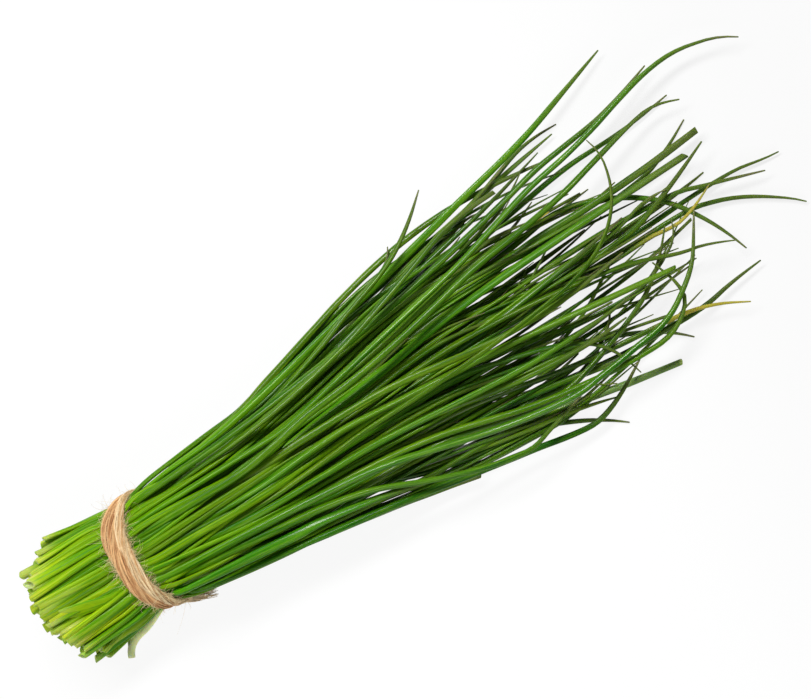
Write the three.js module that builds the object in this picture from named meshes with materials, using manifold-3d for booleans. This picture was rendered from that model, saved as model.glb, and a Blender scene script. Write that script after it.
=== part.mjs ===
// A tied bunch of chives lying on a table: 57 tubular leaves, each its own solid, and the twine round them.
// Millimetres. +X runs from the cut ends to the tips, +Y across the bunch, +Z up from the table.
// The leaves are laid out from the tie (x = 0, y = 0); the bunch is centred over its footprint at the end.
import * as THREE from "three";
import Module from "manifold-3d";

const { clamp, lerp, smoothstep } = THREE.MathUtils;

// ---- driving dimensions ----
const TIE_HALF_WIDTH = 18.3; // the leaves' envelope where the twine holds them
const TIE_HALF_HEIGHT = 14.5;
const HELD_STRAIGHT = 4; // the leaves run straight this far each side of the twine's middle
const BESIDE_TIE = 12; // and stand this much wider at this distance from it
const BESIDE_TIE_FLARE = 1.09;
const SPLAY_SHIFT_Y = -3; // for each unit of flare, the leaves also stand this much further to one side
const SPLAY_SINK = 4.3; // and lower

const STRAND_WIDE = 4; // one turn of the twine, along the bunch
const STRAND_THICK = 1.7; // and radially
const STRAND_PITCH = 3.5; // from one turn to the next on top of the bunch
const STRANDS_DRAWN_IN = 0.6; // share of that pitch that is left at the sides and below
const REAR_BULGE = 2; // how much wider the turn nearer the cut ends is at its loosest place
const REAR_BULGE_ANGLE = Math.PI * 0.22; // which is here, counted from the +Y side over the top
const STRAND_CLEARANCE = 0.45; // between the twine and the leaves' envelope
const STRAND_FLATTENED = 0.6; // how far the table presses the underside in
const TIE_CENTRE_X = 2.9;
const TIE_CENTRE_Y = -0.6;
const TIE_CENTRE_Z = TIE_HALF_HEIGHT + STRAND_CLEARANCE + STRAND_THICK - STRAND_FLATTENED;
const TIE_SKEW = 0.09; // x per y: the tie's +Y side stands towards the tips
const TIE_LEAN = -0.58; // x per z: its top leans towards the cut ends
const KNOT_ANGLE = Math.PI * 1.08; // on the -Y side, a little below the middle
const KNOT_HALF_LONG = 4.2;
const KNOT_HALF_ROUND = 3;
const KNOT_THICK = 2;
const END_RADII = [1.3, 0.7]; // the twine's loose ends, at the knot and where they are cut
const TWINE_ENDS = [
  [[1.5, -20, 11], [4.4, -21.8, 7], [7, -23, 3.2], [10.2, -23.9, 0.95]],
  [[2, -19.6, 10], [4.8, -20.9, 5.8], [7.4, -21.8, 2.4], [10.6, -22.1, 1]],
];

const CUT_END_X = -38.6; // the middle of the cut ends
// How much shorter the outermost leaves are on each side, and the power at which they fall back to it.
const CUT_END_ROUNDED = { plusY: [19, 4], minusY: [9.6, 2] };
const CUT_END_UNEVEN = 1.9;
const CUT_END_FLARE = 1.2; // the cut ends stand wider apart than in the tie
// One leaf is bent outwards behind the tie: its points from the cut end on.
const STRAY_CUT_END = [[-23.5, -28.4, 1.4], [-21.7, -25.3, 1.7], [-18, -23, 4], [-12.4, -21.6, 8.8]];

const SHOULDER_X = 45; // where the leaves start to part
const SHOULDER_FLARE = 1.35;

const LEAF_RADIUS = 1.22;
const THIN_RADIUS = 1;
const STALK_RADIUS = 1.4;
const TIP_SHARE = 0.25; // a leaf's radius at its tip against its base
const BLUNT_TIP_SHARE = 0.85;
const TAPER_POWER = 12; // the higher, the longer a leaf keeps its full radius

const LEAF_GAP = 0.12; // least clearance between two leaves
const TABLE_GAP = 0.1; // and from a leaf to the table
const BEND_RADIUS = 380; // how tightly a leaf bends down after passing over another

// Height of the top of the pile of leaves at distances from the tie.
const PILE_TOP = [[14, 30.5], [45, 27.5], [100, 20], [150, 15], [200, 11], [250, 6.5], [270, 5]];
const PILE_HALF_WIDTH = [[14, 21], [45, 24], [100, 38], [150, 46], [250, 50]];
const PILE_ROUNDED = 0.55; // share of that height that is lost at the pile's edge

const SIDES = 6;
const STEPS_PER_ROUTE_POINT = 1.6;
const TIE_STEPS = 28;
const KNOT_STEPS = 7;
const END_STEPS = 5;
const LAY_SAMPLES = 8; // places checked along a step of one leaf over another
// A strand's section as shares of its thickness and width, from its inner face round.
const STRAND_SECTION = [
  [0, -0.32], [0.28, -0.5], [0.72, -0.5], [1, -0.32], [1, 0.32], [0.72, 0.5], [0.28, 0.5], [0, 0.32],
];

// ---- the leaves, row by row from the table up, each row from the +Y side to the -Y side ----
// A route is the plan view from the shoulder to the tip, as [x, y] points.
const kind = (name, radius, tipShare, color) => {
  const material = new THREE.MeshStandardMaterial({ color, roughness: 0.45, metalness: 0 });
  return (...route) => ({ name, radius, tipShare, material, route });
};
const leaf = kind("leaf", LEAF_RADIUS, TIP_SHARE, 0x4f8f16);
const thin = kind("thin_leaf", THIN_RADIUS, TIP_SHARE, 0x3f7a1a);
const clipped = kind("clipped_leaf", LEAF_RADIUS, BLUNT_TIP_SHARE, 0x5f9a1c);
const stalk = kind("flower_stalk", STALK_RADIUS, BLUNT_TIP_SHARE, 0x74a92a);
const stray = (spec) => ({ ...spec, strayEnd: STRAY_CUT_END });

const ROWS = [
  [
    leaf([95, 26], [140, 38], [165, 47], [178, 50.8], [190, 51.2]),
    leaf([100, 20], [150, 23.5], [188, 27]),
    leaf([110, 14], [170, 18], [203, 20.5], [215, 24], [227.5, 30.5]),
    leaf([110, 4], [170, 8], [213, 10.5], [224, 12]),
    leaf([80, -20], [110, -27], [133, -32.8], [151, -40.9], [159.7, -47]),
    stalk([80, -22], [130, -29], [151, -33], [167, -35.9], [185, -38.7]),
  ],
  [
    leaf([70, 26], [100, 33], [140, 40], [164, 45], [187, 49]),
    thin([85, 24], [120, 31], [136, 33], [143, 35.5]),
    leaf([90, 18], [140, 29], [182, 36.6], [209, 38], [226.7, 40.5]),
    leaf([110, 19], [150, 26.5], [160, 29], [169.5, 33]),
    leaf([100, 10], [150, 13.5], [180, 16]),
    leaf([100, 5], [160, 5.5], [195, 6], [215, 7], [233, 7.2], [245, 5.3], [249, 5]),
    leaf([100, 0], [160, 1.5], [208, 4], [223, 1.5], [235, -4], [246, -11.6], [248.5, -14]),
    leaf([100, -7], [150, -13.5], [170, -19.5], [185, -26.8], [193, -33.5]),
    leaf([110, -17], [160, -25.5], [186, -26.4], [201, -26.4], [213, -24.3], [225, -23]),
    leaf([80, -23], [120, -30], [146, -34], [160.6, -37.5]),
  ],
  [
    leaf([60, 25.4], [80, 31.8], [100, 38], [125, 43.5], [152, 45], [183, 42]),
    thin([70, 23], [95, 33], [117, 40.5], [120.5, 45]),
    leaf([70, 19], [110, 32], [150, 42], [168, 48]),
    thin([90, 21], [130, 34], [149, 39.5], [154, 38.5]),
    leaf([90, 15], [130, 20], [160, 24], [175, 25.7], [194, 19.8], [208, 9.7], [218, -5], [223, -17]),
    leaf([100, 11], [160, 11.5], [208, 11.4], [225, 7], [241.5, 2]),
    leaf([100, 6], [150, 5], [190, 6.9], [207, 12], [228, 21]),
    thin([100, 1], [170, 1.5], [199, 2.4], [206, 1.6], [213, 3], [223, 7.5]),
    thin([100, -5], [150, -9], [175, -11], [207, -11.4]),
    leaf([100, -14], [140, -25], [155, -24], [165, -19], [172, -13.4], [173.5, -9.6]),
    leaf([90, -17], [150, -24], [178, -30]),
    stray(clipped([65, -27.4], [85, -30.8], [108, -35.6])),
  ],
  [
    leaf([90, 31], [127, 40], [151, 46], [176, 52], [200, 60], [214.5, 65]),
    thin([80, 26], [100, 33.5], [113, 37.8], [126.5, 45], [139, 55.5]),
    thin([100, 27], [150, 38], [171.5, 43.7], [179.5, 46]),
    thin([110, 24], [150, 33], [160, 36.2], [171, 43]),
    leaf([90, 16], [120, 24], [150, 29.2], [164, 28]),
    stalk([90, 11], [130, 17], [159, 21], [197, 22.3], [229, 25.4]),
    thin([110, 6], [180, 9], [203, 14], [209.5, 13.5]),
    leaf([90, 0], [150, 6], [192, 13]),
    thin([100, -5], [150, -9], [185, -10.5], [198, -5.5], [204, -1.1], [206, 4]),
    leaf([100, -13], [160, -22], [184, -24], [201, -26.5], [214.8, -33]),
    leaf([90, -18], [140, -27], [156, -24.3], [172, -19], [185.5, -12.9], [195.6, -5], [203, 3.4]),
    leaf([65, -27.2], [85, -30.4], [108, -34.6], [134, -39], [148.4, -41.2], [159, -38.5], [174, -30]),
  ],
  [
    leaf([100, 25], [150, 35], [177, 41.6], [194, 44], [207, 46.6], [225, 52.5]),
    clipped([90, 23], [120, 33], [142, 40.3], [160, 42]),
    thin([100, 17], [140, 25], [172.5, 27]),
    stalk([90, 9], [130, 15], [165, 17.5], [190, 18.8], [221, 20.1]),
    thin([110, 5], [150, 4], [187, -1.6], [201.5, -6.7], [211, -8.8], [220.5, -12.7]),
    thin([110, -3], [140, -9], [157, -14.5], [166.5, -22.5], [171, -34]),
    leaf([90, -9], [150, -17], [176, -16]),
    leaf([90, -15], [140, -26], [174, -29.2], [186.7, -28], [194.8, -22.4], [196.6, -17], [193, -5]),
    leaf([70, -20], [100, -31], [125, -37], [137.7, -34.1], [151.7, -30]),
    stalk([60, -22], [91, -28]),
  ],
  [
    leaf([60, 10], [100, 19], [140, 28], [168, 36.5], [193, 41.7], [212, 47.4], [232, 51.5], [250, 48.3],
      [256.5, 44.7]),
    leaf([66, 10], [100, 14.5], [141, 23.7], [172.5, 28.4], [196, 34.3], [216, 39.3], [222, 39.2],
      [229, 37]),
    leaf([90, 4], [150, -1], [186, 3]),
    stalk([73, 0.5], [97, -1], [135, -3.5], [165, -6.6], [198, -10.2]),
    thin([80, -3], [115, -2], [151.5, 1], [172, 5], [185, 12], [193, 22], [196.3, 34.3], [195, 41]),
    leaf([80, -9], [150, -13], [182.5, -10.5]),
    leaf([80, -16], [140, -29], [161.6, -27.8], [173, -26.1], [187, -23.5], [197, -17.5], [204, -11.5],
      [210, -2.6], [213.5, 3]),
  ],
];
const ROW_TOP_Z = 11.3; // the top row above the tie's centre, and the bottom row below it
const ROW_SIDE_MARGIN = 1.6; // from the tie's envelope to a row's outermost leaf

// ---- solids ----
// Joins rings of points into one closed solid, with flat ends unless the rings close on themselves.
function loft(rings, closed = false) {
  const count = rings[0].length;
  const last = rings.length - 1;
  const faces = [];
  for (let ring = 0; ring < (closed ? rings.length : last); ring++) {
    const next = (ring + 1) % rings.length;
    for (let side = 0; side < count; side++) {
      const nextSide = (side + 1) % count;
      const [a, b] = [ring * count + side, ring * count + nextSide];
      const [c, d] = [next * count + side, next * count + nextSide];
      faces.push(a, c, b, b, c, d);
    }
  }
  for (let side = 1; side < count - 1 && !closed; side++) {
    faces.push(0, side, side + 1);
    faces.push(last * count, last * count + side + 1, last * count + side);
  }
  const geometry = new THREE.BufferGeometry();
  const positions = rings.flat().flatMap((point) => point.toArray());
  geometry.setAttribute("position", new THREE.Float32BufferAttribute(positions, 3));
  geometry.setIndex(faces);
  geometry.computeVertexNormals();
  return geometry;
}

// A round section across `tangent`, its first point at the side.
function roundSection(centre, tangent, radius) {
  const side = new THREE.Vector3(0, 0, 1).cross(tangent).normalize();
  const up = new THREE.Vector3().crossVectors(tangent, side);
  return Array.from({ length: SIDES }, (_, i) => {
    const angle = (2 * Math.PI * i) / SIDES;
    const point = centre.clone().addScaledVector(side, -radius * Math.cos(angle));
    return point.addScaledVector(up, radius * Math.sin(angle));
  });
}

// ---- the leaves' places ----
function interpolate(table, x) {
  if (x <= table[0][0]) return table[0][1];
  for (let i = 1; i < table.length; i++) {
    const [x0, value0] = table[i - 1];
    const [x1, value1] = table[i];
    if (x <= x1) return lerp(value0, value1, (x - x0) / (x1 - x0));
  }
  return table.at(-1)[1];
}

// Where a leaf passes through the tie: rows stand evenly over the height, leaves evenly over each row.
function tieSlot(row, place, count) {
  const z = ROW_TOP_Z * ((2 * row) / (ROWS.length - 1) - 1);
  const height = z / (TIE_HALF_HEIGHT - ROW_SIDE_MARGIN);
  const halfWidth = (TIE_HALF_WIDTH - ROW_SIDE_MARGIN) * Math.sqrt(1 - height * height);
  return { y: halfWidth * (1 - (2 * place) / (count - 1)), z };
}

function cutEndX(slot, order) {
  const [shorter, power] = slot.y > 0 ? CUT_END_ROUNDED.plusY : CUT_END_ROUNDED.minusY;
  const rounded = shorter * (Math.abs(slot.y) / TIE_HALF_WIDTH) ** power;
  return CUT_END_X + rounded + CUT_END_UNEVEN * Math.sin(2.4 * order);
}

// The x at which the slanting middle of the twine stands, at a place counted from the tie's centre.
function tieX({ y, z }) {
  return TIE_CENTRE_X + TIE_SKEW * y + TIE_LEAN * z;
}

// Where a leaf passes a given x when the bunch is `flare` times as wide there as in the tie.
function splayed({ y, z }, x, flare) {
  const shift = flare - 1;
  return new THREE.Vector3(
    x, TIE_CENTRE_Y + y * flare + SPLAY_SHIFT_Y * shift, TIE_CENTRE_Z + z * flare - SPLAY_SINK * shift);
}

// A leaf's stretch from its cut end to where the tie lets it go.
function heldStretch(spec, slot, order) {
  const x = tieX(slot);
  const behindTie = spec.strayEnd
    ? spec.strayEnd.map((point) => new THREE.Vector3(...point))
    : [splayed(slot, cutEndX(slot, order), CUT_END_FLARE), splayed(slot, x - BESIDE_TIE, BESIDE_TIE_FLARE)];
  const held = [...behindTie, splayed(slot, x - HELD_STRAIGHT, 1), splayed(slot, x + HELD_STRAIGHT, 1)];
  for (const point of held) {
    point.z = Math.max(point.z, spec.radius + TABLE_GAP);
  }
  return held;
}

// The rest of a leaf in the plan, from beside the tie over the shoulder to the tip.
function fanRoute(spec, slot) {
  const besideTie = splayed(slot, tieX(slot) + BESIDE_TIE, BESIDE_TIE_FLARE);
  const shoulder = splayed(slot, SHOULDER_X, SHOULDER_FLARE);
  return [besideTie, shoulder, ...spec.route.map(([x, y]) => new THREE.Vector3(x, y, 0))];
}

// The height that a leaf of this row has past the tie, before it is laid over the others.
function rowHeight(row, slot, radius, { x, y }) {
  const share = row / (ROWS.length - 1);
  const outwards = Math.min(1, Math.abs(y - TIE_CENTRE_Y) / interpolate(PILE_HALF_WIDTH, x));
  const top = interpolate(PILE_TOP, x) * (1 - PILE_ROUNDED * outwards ** 2);
  const inPile = radius + TABLE_GAP + share * (top - 2 * radius);
  const settled = smoothstep(x, tieX(slot) + HELD_STRAIGHT, SHOULDER_X + 10);
  return lerp(TIE_CENTRE_Z + slot.z, inPile, settled);
}

// A leaf's centreline as points with a radius each, and the number of its points that the tie holds.
function centreline(spec, row, slot, order) {
  const held = heldStretch(spec, slot, order);
  const fan = fanRoute(spec, slot);
  const plan = new THREE.CatmullRomCurve3([...held, ...fan].map(inPlan), false, "centripetal");
  const heldShare = (held.length - 1) / (held.length + fan.length - 1);
  const steps = Math.round(STEPS_PER_ROUTE_POINT * fan.length);
  const points = [...held];
  for (let step = 1; step <= steps; step++) {
    points.push(plan.getPoint(lerp(heldShare, 1, step / steps)));
  }
  const travelled = distances(points.map(inPlan));
  const line = points.map((point, i) => {
    const along = travelled[i] / travelled.at(-1);
    return { point, radius: spec.radius * lerp(1, spec.tipShare, along ** TAPER_POWER) };
  });
  for (const { point, radius } of line.slice(held.length)) {
    point.z = rowHeight(row, slot, radius, point);
  }
  return { line, heldCount: held.length };
}

function inPlan({ x, y }) {
  return new THREE.Vector3(x, y, 0);
}

// How far along a row of points each one lies.
function distances(points) {
  const travelled = [0];
  for (let i = 1; i < points.length; i++) {
    travelled.push(travelled[i - 1] + points[i].distanceTo(points[i - 1]));
  }
  return travelled;
}

// How high a leaf of this radius has to pass at `point` to clear the stretch from a to b of another leaf.
function heightOver(point, radius, a, b) {
  const along = { x: b.point.x - a.point.x, y: b.point.y - a.point.y };
  const toPoint = { x: point.x - a.point.x, y: point.y - a.point.y };
  const length2 = along.x ** 2 + along.y ** 2;
  const share = clamp((along.x * toPoint.x + along.y * toPoint.y) / length2, 0, 1);
  const distance = Math.hypot(toPoint.x - share * along.x, toPoint.y - share * along.y);
  const reach = radius + lerp(a.radius, b.radius, share) + LEAF_GAP;
  if (distance >= reach) return -Infinity;
  return lerp(a.point.z, b.point.z, share) + Math.sqrt(reach ** 2 - distance ** 2);
}

// How much the stretch from a to b has to rise to clear every leaf laid before it.
function lackingHeight(a, b, laid) {
  let lack = 0;
  for (let sample = 0; sample <= LAY_SAMPLES; sample++) {
    const share = sample / LAY_SAMPLES;
    const point = a.point.clone().lerp(b.point, share);
    const radius = lerp(a.radius, b.radius, share);
    for (const other of laid) {
      for (let j = 0; j < other.length - 1; j++) {
        lack = Math.max(lack, heightOver(point, radius, other[j], other[j + 1]) - point.z);
      }
    }
  }
  return lack;
}

// Raises a leaf wherever it would run into one laid before it, and eases it down again on each side.
function layOver({ line, heldCount }, laid) {
  const needed = line.map(({ point }) => point.z);
  for (let i = heldCount; i < line.length - 1; i++) {
    const lack = lackingHeight(line[i], line[i + 1], laid);
    needed[i] = Math.max(needed[i], line[i].point.z + lack);
    needed[i + 1] = Math.max(needed[i + 1], line[i + 1].point.z + lack);
  }
  const travelled = distances(line.map(({ point }) => point));
  for (let i = heldCount; i < line.length; i++) {
    const eased = needed.map((height, j) =>
      height - (travelled[i] - travelled[j]) ** 2 / (2 * BEND_RADIUS));
    line[i].point.z = Math.max(...eased.slice(heldCount));
  }
  return line;
}

function leafGeometry(line) {
  const rings = line.map(({ point, radius }, i) => {
    const before = line[Math.max(0, i - 1)].point;
    const after = line[Math.min(line.length - 1, i + 1)].point;
    return roundSection(point, after.clone().sub(before).normalize(), radius);
  });
  return loft(rings);
}

// ---- the twine ----
const wasm = await Module();
wasm.setup();

function toManifold(geometry) {
  return new wasm.Manifold(new wasm.Mesh({
    numProp: 3,
    vertProperties: new Float32Array(geometry.getAttribute("position").array),
    triVerts: new Uint32Array(geometry.getIndex().array),
  }));
}

function joined(geometries) {
  const solid = geometries.map(toManifold).reduce((whole, piece) => whole.add(piece));
  const mesh = solid.getMesh();
  const geometry = new THREE.BufferGeometry();
  geometry.setAttribute("position", new THREE.Float32BufferAttribute(mesh.vertProperties, 3));
  geometry.setIndex(Array.from(mesh.triVerts));
  geometry.computeVertexNormals();
  return geometry;
}

// A point of the tie at an angle round the bunch, counted from the +Y side over the top: `out` from the
// leaves, and `offset` along the bunch from the middle of the tie. The table flattens the underside.
function tiePoint(angle, out, offset) {
  const y = (TIE_HALF_WIDTH + STRAND_CLEARANCE + out) * Math.cos(angle);
  const z = (TIE_HALF_HEIGHT + STRAND_CLEARANCE + out) * Math.sin(angle);
  return new THREE.Vector3(tieX({ y, z }) + offset, TIE_CENTRE_Y + y, Math.max(0, TIE_CENTRE_Z + z));
}

function tieTurn(side) {
  const rings = Array.from({ length: TIE_STEPS }, (_, step) => {
    const angle = (2 * Math.PI * step) / TIE_STEPS;
    const onTop = smoothstep(Math.sin(angle), 0, 1);
    const loosest = Math.max(0, Math.cos(angle - REAR_BULGE_ANGLE)) ** 4;
    const bulge = side < 0 ? REAR_BULGE * loosest : 0;
    const offset = (side * STRAND_PITCH * lerp(STRANDS_DRAWN_IN, 1, onTop) - bulge) / 2;
    return STRAND_SECTION.map(([out, along]) =>
      tiePoint(angle, out * STRAND_THICK, offset + along * (STRAND_WIDE + bulge)));
  });
  return loft(rings, true);
}

// The knot where the turns meet: an egg lying across them.
function knot() {
  const rings = Array.from({ length: KNOT_STEPS }, (_, step) => {
    const along = (2 * (step + 0.5)) / KNOT_STEPS - 1;
    const swell = Math.sqrt(1 - along ** 2);
    return Array.from({ length: 8 }, (_, i) => {
      const angle = (2 * Math.PI * i) / 8;
      const out = STRAND_THICK / 2 + (KNOT_THICK / 2) * swell * (1 + Math.cos(angle)) - 0.3;
      const round = KNOT_ANGLE - (KNOT_HALF_ROUND * swell * Math.sin(angle)) / TIE_HALF_WIDTH;
      return tiePoint(round, out, along * KNOT_HALF_LONG);
    });
  });
  return loft(rings);
}

// A cut end of the twine from the knot down to the table, thinning as it frays.
function twineEnd(...points) {
  const curve = new THREE.CatmullRomCurve3(points.map((point) => new THREE.Vector3(...point)));
  const rings = Array.from({ length: END_STEPS + 1 }, (_, step) => {
    const along = step / END_STEPS;
    return roundSection(curve.getPointAt(along), curve.getTangentAt(along), lerp(...END_RADII, along));
  });
  return loft(rings);
}

// ---- the bunch ----
const bunch = new THREE.Group();

function add(name, geometry, material) {
  const mesh = new THREE.Mesh(geometry, material);
  mesh.name = name;
  bunch.add(mesh);
}

const laid = [];
ROWS.forEach((row, rowIndex) => row.forEach((spec, place) => {
  const slot = tieSlot(rowIndex, place, row.length);
  const line = layOver(centreline(spec, rowIndex, slot, laid.length), laid);
  laid.push(line);
  add(`${spec.name}_${String(laid.length).padStart(2, "0")}`, leafGeometry(line), spec.material);
}));

const turns = [-1, 1].map(tieTurn);
const ends = TWINE_ENDS.map((route) => twineEnd(...route));
const twineMaterial = new THREE.MeshStandardMaterial({ color: 0xd8ae78, roughness: 0.9, metalness: 0 });
add("twine_tie", joined([...turns, knot(), ...ends]), twineMaterial);

// The origin stands on the table at the middle of the bunch's footprint.
const box = new THREE.Box3().setFromObject(bunch);
const middle = box.getCenter(new THREE.Vector3());
bunch.position.set(-middle.x, -middle.y, -box.min.z);

export default bunch;
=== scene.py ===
"""A tied bunch of chives on a pale table.

Every CAD leaf is replaced by a finer hollow one along the same line, and more leaves fill the bunch. They are
pressed apart, so that they lie on and beside each other. The CAD tie is replaced by two turns of jute, made
of its fibres. Lengths are millimetres until a mesh is made, and metres for the lights and the camera.
"""
import math

import bpy
import numpy as np
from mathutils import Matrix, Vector


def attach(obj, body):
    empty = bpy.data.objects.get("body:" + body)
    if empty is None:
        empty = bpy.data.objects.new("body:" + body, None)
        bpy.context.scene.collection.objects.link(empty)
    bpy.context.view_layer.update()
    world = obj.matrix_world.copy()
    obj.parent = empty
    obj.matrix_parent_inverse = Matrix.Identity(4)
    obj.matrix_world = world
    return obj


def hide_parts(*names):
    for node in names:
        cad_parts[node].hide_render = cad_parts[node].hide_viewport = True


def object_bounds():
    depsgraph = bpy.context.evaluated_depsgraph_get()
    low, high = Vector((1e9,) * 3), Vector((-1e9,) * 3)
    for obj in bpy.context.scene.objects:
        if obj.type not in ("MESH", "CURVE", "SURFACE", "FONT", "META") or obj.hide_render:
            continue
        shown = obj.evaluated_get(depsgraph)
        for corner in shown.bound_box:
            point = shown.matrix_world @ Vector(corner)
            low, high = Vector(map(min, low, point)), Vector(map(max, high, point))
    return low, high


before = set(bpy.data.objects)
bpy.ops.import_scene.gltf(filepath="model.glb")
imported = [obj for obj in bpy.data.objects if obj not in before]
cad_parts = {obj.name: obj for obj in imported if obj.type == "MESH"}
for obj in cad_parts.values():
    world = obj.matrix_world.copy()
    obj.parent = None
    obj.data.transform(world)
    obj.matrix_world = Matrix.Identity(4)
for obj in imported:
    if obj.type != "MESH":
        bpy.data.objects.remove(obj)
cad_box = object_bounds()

MM = 0.001
ALONG = np.array([1.0, 0, 0])  # the bunch's length, towards the tips
OFF_TABLE = 0.03  # the least height of a mesh's points
rng = np.random.default_rng(20)

# ======== the bunch's plan: x from the place where it is tied, y across
TIE_HALF_WIDTH = 18.3  # of the leaves' envelope in the tie
TIE_HALF_HEIGHT = 14.5
TIE_OUT = 2.15  # from there to the outside of the twine
TIE_AHEAD = 2.9  # from the plan's origin to the middle of the twine
TIE_ASIDE = -0.6

HELD_STRAIGHT = 4.0  # the leaves run straight this far each side of the twine's middle
BESIDE_TIE = 12.0  # and this far from it the bunch is wider again,
BESIDE_TIE_FLARE = 1.09  # by this factor
SPLAY_SHIFT_Y = -3.0  # for each unit of flare, the leaves also stand this much to one side
SPLAY_SINK = 4.3  # and this much lower
SHOULDER_X = 45.0  # where the fan's outline starts

CUT_END_X = -38.4
CUT_END_ROUNDED = {1: (19.0, 4), -1: (11.0, 2)}  # how much shorter the outer leaves are, and a power
CUT_END_UNEVEN = 1.1
CUT_END_FLARE = {1: (1.07, 1.27), -1: (1.04, 1.2)}
LOOSE_CUT_ENDS = 0.07  # share of the leaves that stand further out there
LOOSE_FLARE = 0.12

# the outline of the fan without its stray tips: the -Y side and the +Y side
OUTLINE_X = [45, 60, 80, 100, 120, 140, 170, 200, 232]
OUTLINE_LOW = [-24.5, -26.6, -29.8, -33.7, -35.5, -36.5, -34, -29, -21]
OUTLINE_HIGH = [21.2, 25.3, 31.6, 38, 42, 43, 42, 39, 34]
PILE_X = [14, 45, 100, 150, 200, 250]
PILE_TOP = [30.5, 27.5, 19, 14, 10.5, 6.5]
PILE_ROUNDED = 0.55  # how much lower the pile is at its sides
SETTLED_OVER = 55.0  # length over which the leaves sink from the tie into the pile

# ---- the leaves that fill the bunch ----
FILLERS = 170
SLOT_TRIES = 400
MORE_ON_TOP = 0.35  # how much closer they stand in the upper part of the bunch
FILLER_RADIUS = (0.5, 0.78, 1.22)  # least, usual and most
FILLER_TIP_X = (100, 172, 228)  # least, usual and most reach of a tip
SHORT_FILLERS = 0.75  # share of those in the lower half that are shorter
SHORT_TIP_X = (80, 120, 150)
TIP_DRAWN_BACK = 14.0  # how much shorter the outermost leaves reach
FILLER_VEER = 0.13  # how far a leaf has moved across at the shoulder, as a share of half the width
FILLER_SWAY = 0.2  # and from there to its tip
SWAY_POWER = 0.8
WAVE = (0.05, 5.0)  # a slow wave's size as such a share, and its radians up to the tip
MOST_ACROSS = 0.97
INNER_LEAF = 0.5  # a leaf further out than this curls only inwards
FILLER_SKEW = 1.6  # how far its cut end stands to one side
BLUNT_FILLERS = 0.14  # share of them that are clipped short of their tip
CURLED_FILLERS = 0.28  # share of them that bend well to one side
CURL = (6, 22)  # how far
SLIGHT_CURL = (0, 6)  # and how far the others do
CURL_POWER = (2.5, 5)

# one of them lies opened flat on top of the cut ends
OPENED_SLOT = (-5.0, 13.3)
OPENED_SKEW = 5.5  # how far its cut end stands towards +Y
OPENED_AT = 13.0  # from its cut end to where it is widest
OPENED_REACH = 12.0
OPENED_WIDE = 1.9  # how much it gains there in width
OPENED_THIN = 0.4  # and loses in thickness
OPENED_RISE = 1.6

# ---- every leaf ----
CAD_SIDES = 6
STATIONS = 64  # along each leaf while it is pressed into its place
MESH_STATIONS = 84
SIDES = 14
CURVE_STEPS = 12  # between two points of a route
FILLER_SLIMMER = 0.32  # share of its width that a leaf loses in the fan
CAD_SLIMMER = 0.14
SLIM_X = 170.0  # up to here
TIP_SHARE = {False: 0.3, True: 0.75}  # of a whole and of a clipped leaf
TAPER_POWER = 12.0
LAID_DOWN = {"flower_stalk_50": 6.0}  # how far it is laid down onto the others
LAID_DOWN_OVER = 45.0
LEAST_LOOSE = 0.15  # how easily a CAD leaf gives way in the fan, compared with a filler
LOOSE_OVER = 50.0

# ---- pressing the leaves apart ----
ROUNDS = 150
ROUNDS_PER_SEARCH = 10
SEARCH_MARGIN = 0.6
SETTLE = 0.012  # how far the leaves sink in a round
CROWD = 1.6  # a point pushed more often than this in a round takes less of each push
STIFFNESS_PASSES = 3
TIE_SLACK = 0.3  # how far the leaves may press into the twine
TABLE_GAP = 0.05


def lengths(vectors):
    return np.linalg.norm(vectors, axis=-1)


def unit(vectors):
    """Vectors brought to a length of one."""
    return vectors / lengths(vectors)[..., None]


# ======== reading the frame
def node_points(node):
    """A CAD node's distinct vertices in millimetres, and its edges as pairs of them."""
    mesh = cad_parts[node].data
    co = np.empty(len(mesh.vertices) * 3)
    mesh.vertices.foreach_get("co", co)
    points, index = np.unique(np.round(co.reshape(-1, 3) / MM, 3), axis=0, return_inverse=True)
    ends = np.empty(len(mesh.edges) * 2, int)
    mesh.edges.foreach_get("vertices", ends)
    return points, index.ravel()[ends].reshape(-1, 2)


def cad_leaf(node):
    """The middles and radii of a CAD leaf's rings, from the cut end to the tip."""
    points, edges = node_points(node)
    joined = {i: set() for i in range(len(points))}
    for a, b in edges:
        joined[a].add(b)
        joined[b].add(a)
    behind = np.where(points[:, 0] < TIE_MIDDLE[0], lengths(points - TIE_MIDDLE), 0)
    ring = set(np.argsort(-behind)[:CAD_SIDES].tolist())  # the cut end lies furthest behind the tie
    seen = set(ring)
    middles, radii = [], []
    while ring:
        corners = points[sorted(ring)]
        middles.append(corners.mean(0))
        radii.append(lengths(corners - corners.mean(0)).mean())
        ring = set().union(*(joined[i] for i in ring)) - seen
        seen |= ring
    return np.array(middles), np.array(radii)


def read_tie():
    """The tie's middle, and how far its plane leans along x for each y and for each z."""
    points, _ = node_points("twine_tie")
    high = points.max(0)
    middle_y = high[1] - TIE_HALF_WIDTH - TIE_OUT
    middle_z = high[2] - TIE_HALF_HEIGHT - TIE_OUT
    upper = points[points[:, 2] > middle_z + TIE_HALF_HEIGHT / 2]  # clear of the knot
    offsets = np.column_stack([np.ones(len(upper)), upper[:, 1] - middle_y, upper[:, 2] - middle_z])
    middle_x, skew, lean = np.linalg.lstsq(offsets, upper[:, 0], rcond=None)[0]
    return np.array([middle_x, middle_y, middle_z]), skew, lean


TIE_MIDDLE, TIE_SKEW, TIE_LEAN = read_tie()
PLAN_ORIGIN = TIE_MIDDLE - [TIE_AHEAD, TIE_ASIDE, 0]
CAD_LEAVES = [name for name in sorted(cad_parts) if name != "twine_tie"]


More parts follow.
